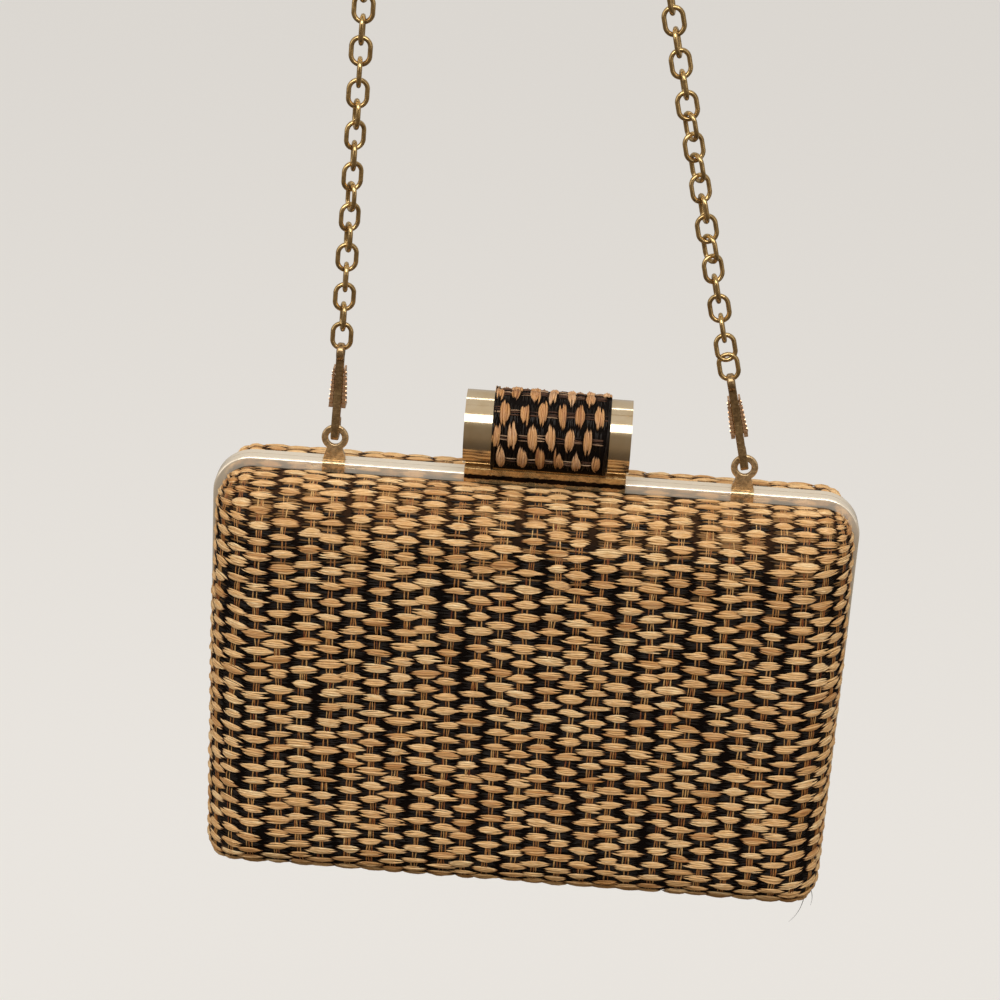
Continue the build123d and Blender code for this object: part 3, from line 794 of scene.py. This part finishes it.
def weave_cloth(label, stitches, hollows, rng, bend, half, tall_mm, long_mm, painted_light_at):
    """The tan stitches, the dark strands in the hollows, and the warp threads.

    tall_mm and long_mm are half a stitch's height and length. The brown share,
    a function of (across, up), is 1 where the hollows' strands get painted light:
    brown in place of black. There they also lie higher and wider.
    """
    (a, u), (ha, hu) = stitches, hollows
    # A stitch is four to six strands that fan out from its middle.
    fingers = rng.choice([4, 5, 6], len(a), p=[0.4, 0.4, 0.2])
    owner, level = in_groups(fingers)
    many = len(owner)
    tall = rng.normal(tall_mm, 0.13, len(a))[owner]
    long = rng.normal(long_mm, 0.28, len(a))[owner] * rng.uniform(0.66, 1.16, many) * (1 - 0.24 * np.abs(level))
    high_each = tall / fingers[owner] * rng.uniform(1.05, 1.55, many)
    tan = strands(
        a[owner] + rng.normal(0, 0.30, many), u[owner], long, high_each,
        fan=2 * level * tall * rng.uniform(0.80, 1.05, many), bow=rng.uniform(0.05, 0.85, many),
        high=0.58 - 1.5 * level**2 + rng.normal(0, 0.07, many), low=rng.uniform(0.0, 0.26, many),
        thickness=rng.uniform(0.30, 0.42, many),
        tilt=rng.normal(0, 0.10, len(a))[owner] + rng.normal(0, 0.12, many),
    )
    tone = np.clip(0.6 * rng.uniform(0, 1, len(a))[owner] + 0.4 * rng.uniform(0, 1, many), 0, 1)
    numbers = strand_numbers(many, long, high_each, tone, rng.uniform(0, 9, many))
    made = [strand_piece(f"{label}_weave", tan, bend, half, numbers)]
    # Dark strands lie low in each hollow and run under the stitches beside it.
    owner, level = in_groups(np.full(len(ha), 5))
    many = len(owner)
    # Painted light: near the top the hollows' strands are tinted brown in place of black, and lie higher and wider.
    brown = painted_light_at(ha, hu)[owner]
    long, high_each = rng.uniform(2.4, 4.2, many), rng.uniform(0.20, 0.36, many) * (1 + 0.35 * brown)
    dark = strands(
        ha[owner] + rng.normal(0, 0.4, many), hu[owner] + level * 2.9 + rng.normal(0, 0.10, many), long, high_each,
        fan=-level * 0.7, bow=0.2, high=rng.uniform(-0.02, 0.12, many) + 0.24 * brown, low=-0.06, thickness=0.18,
        tilt=rng.normal(0, 0.16, many),
    )
    shade = np.clip(rng.uniform(0, 0.6, many) + brown * rng.uniform(0.0, 1.25, many), 0, 1)
    numbers = strand_numbers(many, long, high_each, shade, rng.uniform(0, 9, many))
    made.append(strand_piece(f"{label}_dark_strands", dark, bend, half, numbers))
    # Warp threads stand between one stitch and the next in the column.
    owner, level = in_groups(rng.choice([2, 3, 4], len(ha), p=[0.35, 0.45, 0.2]))
    many = len(owner)
    long, high_each = rng.uniform(1.6, 2.0, many), rng.uniform(0.13, 0.24, many)
    warp = strands(
        ha[owner] + level * rng.uniform(1.7, 2.4, many) + rng.normal(0, 0.08, many), hu[owner], long, high_each,
        fan=0.0, bow=1.0, high=0.36, low=0.05, thickness=0.16, tilt=rng.normal(0, 0.10, many), upright=True,
    )
    numbers = strand_numbers(many, long, high_each, rng.uniform(0, 1, many), rng.uniform(0, 9, many))
    made.append(strand_piece(f"{label}_warp_threads", warp, bend, half, numbers, upright=True))
    return made


# %% Weaving the covers
def painted_top_light(across, up):
    """Painted light: 1 over the top's first rows, fading out on the front, and half of that beside; there the hollows
    turn brown in place of black.
    """
    top = np.clip((44 - (reach_up - up)) / 34, 0, 1)
    beside = np.clip(1 - (reach_across - np.abs(across)) / 26, 0, 1)
    return np.maximum(top, 0.5 * beside)


halves = (("front", FRONT, 3), ("rear", REAR, 8))
weaves = {}
for label, half, seed in halves:
    stitches, hollows, rng = staggered(seed)
    weaves[label] = weave_cloth(
        label, stitches, hollows, rng, lambda flat, half=half: bend_over(flat, half), half,
        tall_mm=1.27, long_mm=4.3, painted_light_at=painted_top_light)
    for piece in weaves[label]:
        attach(piece, f"{label}_half")
        print(piece.name, "quads", len(piece.data.polygons))

# %% [markdown]
# Raffia frays. Two black fibres have sprung out of the weave at the front's
# lower right corner, each a fine tube along a bowed line.

# %% Loose fibres
def loose_fibre(start, bow, end, radius=0.13, steps=14):
    """Points and quads of a fine tube of four sides, in the bag's millimetres.

    With t from 0 to 1 its line is (1-t)^2 start + 2 t (1-t) bow + t^2 end, and
    its radius shrinks towards the free end as 1 - 0.8 t.
    """
    t = np.linspace(0, 1, steps)[:, None]
    line = (1 - t) ** 2 * np.array(start) + 2 * t * (1 - t) * np.array(bow) + t**2 * np.array(end)
    way = unit(np.gradient(line, axis=0))
    side = unit(np.cross(way, [0.0, 1.0, 0.0]))
    turn = np.arange(4)[None, :, None] * np.pi / 2
    ring = np.cos(turn) * side[:, None, :] + np.sin(turn) * np.cross(way, side)[:, None, :]
    points = line[:, None, :] + radius * (1 - 0.8 * t)[:, None, :] * ring
    return points.reshape(-1, 3), tube_quads(steps)


fray = (86.0, -9.0, -118.5)
fray_points, fray_quads = zip(
    loose_fibre(fray, (86.5, -10.5, -127.0), (82.0, -12.0, -130.5)),
    loose_fibre(fray, (89.0, -10.0, -121.5), (87.8, -11.0, -125.0)),
)
loose = new_piece(
    "front_loose_fibres", to_row(np.concatenate(fray_points)),
    np.concatenate([fray_quads[0], fray_quads[1] + len(fray_points[0])]))
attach(loose, "front_half")
print("loose fibres", len(fray_points))

# %% [markdown]
# Behind the strands lies the cloth they are woven on, nearly black. It closes
# every gap, and it is the sheet that the cover is cut from. A grid over the
# flat cloth is bent over the dome, and Solidify gives it its thickness on the
# inner side.

# %% Backing cloths
def grid_places(reach, front, count):
    """Places one way over the cloth: count over the front, and more over each roll."""
    places = np.concatenate([-reach + side_run[::24], np.linspace(-front, front, count), reach - side_run[::-24]])
    return np.unique(np.clip(places, -reach, reach).round(4))


def dome_grid():
    """The flat cloth's grid, dense over the roll and open over the front.

    Its corners are cut where the two drops reach 1 together. With drops p and q
    from 0 to 1 and the power n, p becomes p (1 - q^n / 2)^(1/n), and q likewise.
    """
    aa, uu = np.meshgrid(grid_places(reach_across, 72, 49), grid_places(reach_up, 44, 31))
    p, q, _ = both_drops(aa, uu)
    cut_p = p * (1 - q**drop_power / 2) ** (1 / drop_power)
    cut_q = q * (1 - p**drop_power / 2) ** (1 / drop_power)
    both = (p > 0) & (q > 0)
    cut_a = np.sign(aa) * (reach_across - np.interp(1 - cut_p, out_share, side_run))
    cut_u = np.sign(uu) * (reach_up - np.interp(1 - cut_q, out_share, side_run))
    return np.where(both, cut_a, aa), np.where(both, cut_u, uu)


def walled(name, points, across, up, half, wall_mm, **values):
    """A grid of cloth with UV in millimetres and a wall on its inner side."""
    quads = grid_quads(*across.shape)
    piece = new_piece(name, points, quads if half == FRONT else quads[:, ::-1], **values)
    lay_uv(piece, np.stack([across.ravel(), up.ravel()], -1))
    wall = piece.modifiers.new("thickness", "SOLIDIFY")
    wall.thickness, wall.offset = wall_mm / 1000, -1
    return piece


backing_low, backing_wall = -0.12, 0.14
cloths = []
for label, half, _ in halves:
    across_grid, up_grid = dome_grid()
    flat = np.stack([across_grid + 1e-5, up_grid + 1e-5, np.full_like(up_grid, backing_low)], -1)
    # The brown attribute is painted light: the backing turns brown over the top rows.
    cloth = walled(
        f"{label}_cover_cloth", bend_over(flat, half), across_grid, up_grid, half, backing_wall,
        brown=painted_top_light(across_grid, up_grid))
    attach(cloth, f"{label}_half")
    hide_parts(f"{label}_cover")
    cloths.append(cloth)
print("flat cloth", round(2 * reach_across, 1), "by", round(2 * reach_up, 1), "mm")

# %% [markdown]
# ## The clasp's wrap
# The same cloth covers the clasp, turned a quarter so that its stitches run
# round the tube. Its two halves meet at a seam along the top: the front one is
# glued to the sleeve that swings with the front, the rear one to the tube. The
# weaving function stays as it is; only the bend changes, from a dome to a tube.

# %% Wrapping a tube
sleeve_low, sleeve_high = (np.array(c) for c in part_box("clasp_front_wrap"))
wrap_low, wrap_high = (sleeve_low - bag_origin) * 1000, (sleeve_high - bag_origin) * 1000
wrap_middle_x, wrap_length = (wrap_low[0] + wrap_high[0]) / 2, wrap_high[0] - wrap_low[0]
wrap_radius = -wrap_low[1]
wrap_axis_z = wrap_high[2] - wrap_radius
wrap_sink = 0.62
cloth_radius = wrap_radius - wrap_sink
seam_run = 0.14
wrap_end = cloth_radius * (math.pi - math.asin(4.05 / cloth_radius))


def bend_round(flat_points, half):
    """Flat points wound on the tube: the first number runs round it from the seam.

    The angle from the top is the run over the cloth's radius, and proud adds to
    the radius. The second number is the place along the tube.
    """
    run, along, proud = (flat_points[..., k].ravel() for k in range(3))
    angle = np.clip(run, seam_run, wrap_end) / cloth_radius
    along = np.clip(along, -wrap_length / 2, wrap_length / 2)
    radius = cloth_radius + proud
    return to_row(np.stack([
        wrap_middle_x + along, half * radius * np.sin(angle), wrap_axis_z + radius * np.cos(angle),
    ], -1))


print("wrap", round(wrap_length, 2), "long, radius", round(wrap_radius, 2), "axis", round(wrap_axis_z, 2))

# %% Weaving the wrap
round_pitch, along_pitch = 6.9, 5.05
first_row = 1.4


def wrap_layout(seed):
    """Stitch and hollow places on the wound cloth, with hand-made drift."""
    rng = np.random.default_rng(seed)
    r, c = np.meshgrid(np.arange(5), np.arange(13), indexing="ij")
    run = first_row + r * round_pitch + rng.normal(0, 0.25, r.shape)
    along = (c - 6) * along_pitch / 2 + 0.25 * np.sin(c * 1.7 + seed) + rng.normal(0, 0.16, r.shape)
    over = (r + c) % 2 == 0
    kept = (np.abs(along) < wrap_length / 2 - 0.9) & (run < wrap_end - 3)
    return (run[over & kept], along[over & kept]), (run[~over & kept], along[~over & kept]), rng


def end_binding(rng):
    """Flat places of the ragged dark strands that run round each cut end of the wrap."""
    many = 44
    run = rng.uniform(1.0, wrap_end - 1.0, many)
    along = np.where(np.arange(many) % 2 == 0, -1, 1) * (wrap_length / 2 - rng.uniform(0.15, 0.95, many))
    long = rng.uniform(2.2, 5.2, many)
    wide = rng.uniform(0.14, 0.30, many)
    flat = strands(
        run, along, long, wide, fan=rng.normal(0, 0.12, many), bow=0.3, high=rng.uniform(0.25, 0.60, many),
        low=0.05, thickness=0.20, tilt=rng.normal(0, 0.22, many),
    )
    shade = np.where(rng.uniform(0, 1, many) < 0.2, 0.95, rng.uniform(0, 0.6, many))
    return flat, strand_numbers(many, long, wide, shade, rng.uniform(0, 9, many))


for label, half, seed in (("clasp_front", FRONT, 21), ("clasp_rear", REAR, 34)):
    stitches, hollows, rng = wrap_layout(seed)
    weaves[label] = weave_cloth(
        label, stitches, hollows, rng, lambda flat, half=half: bend_round(flat, half), half,
        tall_mm=1.30, long_mm=4.2, painted_light_at=lambda run, along: np.zeros(len(run)))
    ends, numbers = end_binding(rng)
    binding = strand_piece(f"{label}_end_strands", ends, lambda flat, half=half: bend_round(flat, half), half, numbers)
    weaves[label].append(binding)
    run_grid, along_grid = np.meshgrid(
        np.linspace(seam_run, wrap_end, 49), np.linspace(-wrap_length / 2, wrap_length / 2, 33))
    flat = np.stack([run_grid, along_grid, np.full_like(run_grid, -0.02)], -1)
    cloth = walled(f"{label}_wrap_cloth", bend_round(flat, half), run_grid, along_grid, half, 0.12)
    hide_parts(f"{label}_wrap")
    for piece in (cloth, *weaves[label]):
        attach(piece, label.removeprefix("clasp_") + "_half")
    cloths.append(cloth)
print("wrap cloth", round(wrap_end - seam_run, 1), "by", round(wrap_length, 1), "mm")

# %% [markdown]
# Raffia is a split palm leaf, so it is glossy along its fibres and dull across
# them, with fine lines that follow each strand wherever it bends. The strands'
# own UV carries those lines. Tone picks each strand's colour between straw, tan
# and pinkish brown, and painted shade darkens it, by its rise, where it dives into the weave.

# %% Raffia
def raffia(name, straw, tan, brown, dive_shade, rough, gloss, groove=0.62, ochre=(216, 164, 92)):
    """Raffia strands: straw to tan to brown by tone, and a painted shade colour where it dives.

    groove is how brown the lines between the fibres are; ochre tints its flecks.
    """
    material, tree, shader = new_finish(name)
    run = tree.add("UVMap", {"uv_map": "run"}).outputs["UV"]
    tone = tree.add("Attribute", {"attribute_name": "tone"}).outputs["Fac"]
    rise = tree.add("Attribute", {"attribute_name": "rise"}).outputs["Fac"]
    lines = tree.place(fibres, Run=run, Fibre_Width=0.24, Fibre_Length=2.6, Shade=1.0)
    pale = tree.blend(tree.remap(tone, 0.0, 0.55), linear(*straw), linear(*tan))
    body = tree.blend(tree.remap(tone, 0.55, 1.0), pale, linear(*brown))
    lined = tree.blend(tree.times(lines.outputs["Streak"], groove), body, linear(*brown))
    spotted = tree.blend(tree.times(lines.outputs["Knot"], 0.34), lined, linear(*ochre))
    # Painted shade: each strand darkens to the dive colour where it dives under its neighbours.
    colour = tree.blend(tree.remap(rise, 0.0, 0.34), linear(*dive_shade), spotted)
    roughness = tree.plus(tree.times(lines.outputs["Streak"], 0.18), rough)
    paint(tree, shader, colour, roughness, lines.outputs["Height"], 0.10)
    shader.inputs["Specular IOR Level"].default_value = gloss
    return material


tan_raffia = raffia("tan_raffia", (252, 228, 180), (240, 202, 148), (172, 120, 70), (104, 58, 32), 0.42, 0.35)
# The clasp's wrap is the covers' cloth; its darker raffia and warp are shaded copies of theirs: painted shade.
shaded_wrap_raffia = raffia("shaded_wrap_raffia", (234, 196, 156), (206, 158, 112), (134, 82, 50), (40, 18, 12), 0.40, 0.30)
# Black raffia's brown, at high tone, is painted light on the hollows' strands near the top; a few end strands have it
# as their own colour.
black_raffia = raffia("black_raffia", (20, 13, 10), (11, 6, 4), (166, 124, 76), (4, 2, 1), 0.28, 0.24, 0.02, (14, 9, 6))
warp_raffia = raffia("warp_raffia", (228, 190, 128), (184, 126, 72), (122, 62, 36), (56, 28, 16), 0.40, 0.30)
shaded_wrap_warp = raffia(
    "dim_warp_raffia", (204, 170, 136), (84, 54, 40), (30, 19, 15), (14, 8, 6), 0.36, 0.25, ochre=(120, 80, 52))
for label, (stitches, dark, warps, *ends) in weaves.items():
    on_clasp = label.startswith("clasp")
    dress(stitches, shaded_wrap_raffia if on_clasp else tan_raffia)
    dress(warps, shaded_wrap_warp if on_clasp else warp_raffia)
    for piece in (dark, *ends):
        dress(piece, black_raffia)
dress(loose, black_raffia)

backing_black, tree, shader = new_finish("backing_black")
run = tree.add("UVMap", {"uv_map": "run"}).outputs["UV"]
mesh_lines = tree.place(threads, Run=run, Thread=0.45)
brown = tree.add("Attribute", {"attribute_name": "brown"}).outputs["Fac"]
black = tree.blend(mesh_lines.outputs["Over"], linear(6, 3, 2), linear(15, 8, 5))
# Painted light: where the brown attribute is high, near the top, the black backing is painted brown.
colour = tree.blend(tree.remap(brown, 0.35, 1.0), black, linear(58, 38, 22))
roughness = tree.plus(tree.times(mesh_lines.outputs["Slub"], 0.2), 0.6)
paint(tree, shader, colour, roughness, mesh_lines.outputs["Height"], 0.12)
shader.inputs["Specular IOR Level"].default_value = 0.08
for cloth in cloths:
    dress(cloth, backing_black)
print("raffia and backing dressed")

# %% [markdown]
# ## Linings and shells
# Inside, each half is lined with cloth glued into the shell. The cover's grid
# and dome carry it too, moved in by the lining's depth. Its rim closes on the
# frame's inner leg, shallow waves run over it, and a stitched seam runs round
# the foot of its sides. Where the dome rolls over, its outer side still lies in the shell.

# %% Lining and shell finishes
lining_cloth, tree, shader = new_finish("lining_cloth")
run = tree.add("UVMap", {"uv_map": "run"}).outputs["UV"]
fine = tree.place(threads, Run=run, Thread=0.32)
tone_shift = tree.add("TexNoise", {}, Vector=run, Scale=0.05, Detail=3.0)
deep = tree.blend(fine.outputs["Over"], linear(46, 38, 33), linear(66, 55, 47))
colour = tree.blend(tree.remap(tone_shift.outputs["Fac"], 0.4, 0.7, 0.0, 0.35), deep, linear(84, 70, 60))
roughness = tree.plus(tree.times(fine.outputs["Slub"], 0.15), 0.62)
paint(tree, shader, colour, roughness, fine.outputs["Height"], 0.10)
shader.inputs["Sheen Weight"].default_value = 0.25

shell_board, tree, shader = new_finish("shell_board")
where = tree.add("TexCoord").outputs["Object"]
fibre = tree.add("TexNoise", {}, Vector=where, Scale=500.0, Detail=5.0, Roughness=0.7)
colour = tree.blend(tree.remap(fibre.outputs["Fac"], 0.35, 0.65), linear(72, 62, 54), linear(98, 86, 74))
roughness = tree.plus(tree.times(fibre.outputs["Fac"], 0.2), 0.7)
paint(tree, shader, colour, roughness, fibre.outputs["Fac"], 0.06)
print("lining and board finishes ready")

# %% Lining cloths
lining_in = 2.95
lining_wall = 0.5
leg_clear = 1.0
rim_width = 0.9
seam_depth, seam_width = 0.35, 0.7
fold_height = 0.10


def lining_points(half):
    """The dome moved in by the lining's depth, with a rim that closes on the frame's leg."""
    across, up = dome_grid()
    run = np.maximum(run_in(across, up), 0)
    folds = fold_height * np.sin(across / 5.3 + np.sin(up / 9.0)) * np.sin(up / 6.1) * np.clip(run / 12, 0, 1)
    seam = -seam_depth * np.exp(-((run - roll_length - 1.0) / seam_width) ** 2)
    proud = -lining_in - 0.12 + folds + seam
    points = cover_point((across + 1e-5).ravel(), (up + 1e-5).ravel(), proud.ravel(), half)
    points = points.reshape(*across.shape, 3)
    edge = points[:, :, 1].copy()
    near_leg = half * leg_clear
    # Over the rim's width only the depth changes, from the leg to the dome.
    border = np.minimum(run, rim_width) / rim_width
    points[:, :, 1] = near_leg + (edge - near_leg) * border
    return across, up, points


for label, half, _ in halves:
    across_grid, up_grid, points = lining_points(half)
    lining = walled(f"{label}_lining_cloth", to_row(points.reshape(-1, 3)), across_grid, up_grid, half, lining_wall)
    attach(lining, f"{label}_half")
    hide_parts(f"{label}_lining")
    dress(lining, lining_cloth)
for label, _, _ in halves:
    dress(nodes[f"{label}_shell"], shell_board)
print("linings", lining_in, "mm inside the covers")
